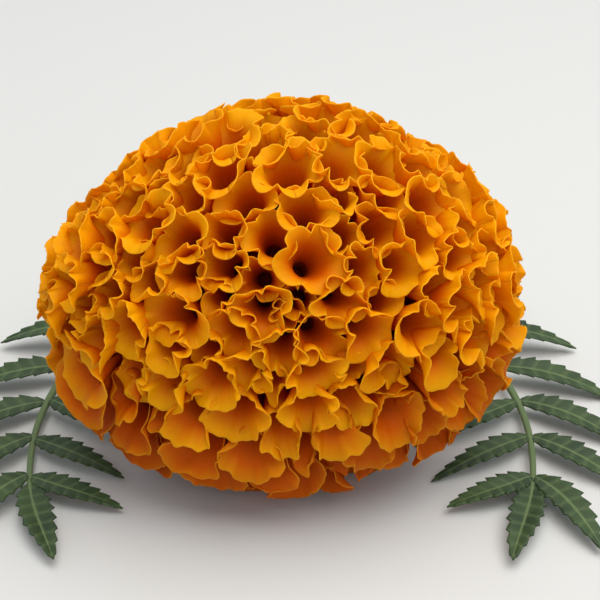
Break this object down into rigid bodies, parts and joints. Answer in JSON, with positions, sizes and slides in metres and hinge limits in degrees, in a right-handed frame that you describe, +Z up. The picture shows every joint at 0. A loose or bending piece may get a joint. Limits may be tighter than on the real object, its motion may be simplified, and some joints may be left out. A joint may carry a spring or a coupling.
{
  "type": "marigold flower",
  "caption": "Picked double marigold lying on its side: a dense domed head of ruffled orange florets on a green calyx, with a curved ribbed stalk and a pair of toothed divided leaves.",
  "frame": {"origin": "on the surface that the flower lies on, under the middle of its bounding box", "axes": "+Z up; the head faces -Y and 24 degrees upwards; +Y back along the stalk; +X to the right of the head as seen from its front"},
  "size_m": [0.131, 0.1435, 0.0684],
  "materials": {
    "petal": "soft satin, slightly translucent golden-orange petals, deeper orange in their throats, with thin yellow rims",
    "calyx": "waxy mid-green with paler ribs and small oil glands",
    "stem": "satin green, ribbed, faintly reddish on the ridges",
    "leaf": "satin dark green with paler veins"
  },
  "bodies": {
    "root": {"bloom": "petal", "calyx": "calyx", "stem": "stem", "leaf_left": "leaf", "leaf_right": "leaf"}
  },
  "joints": []
}
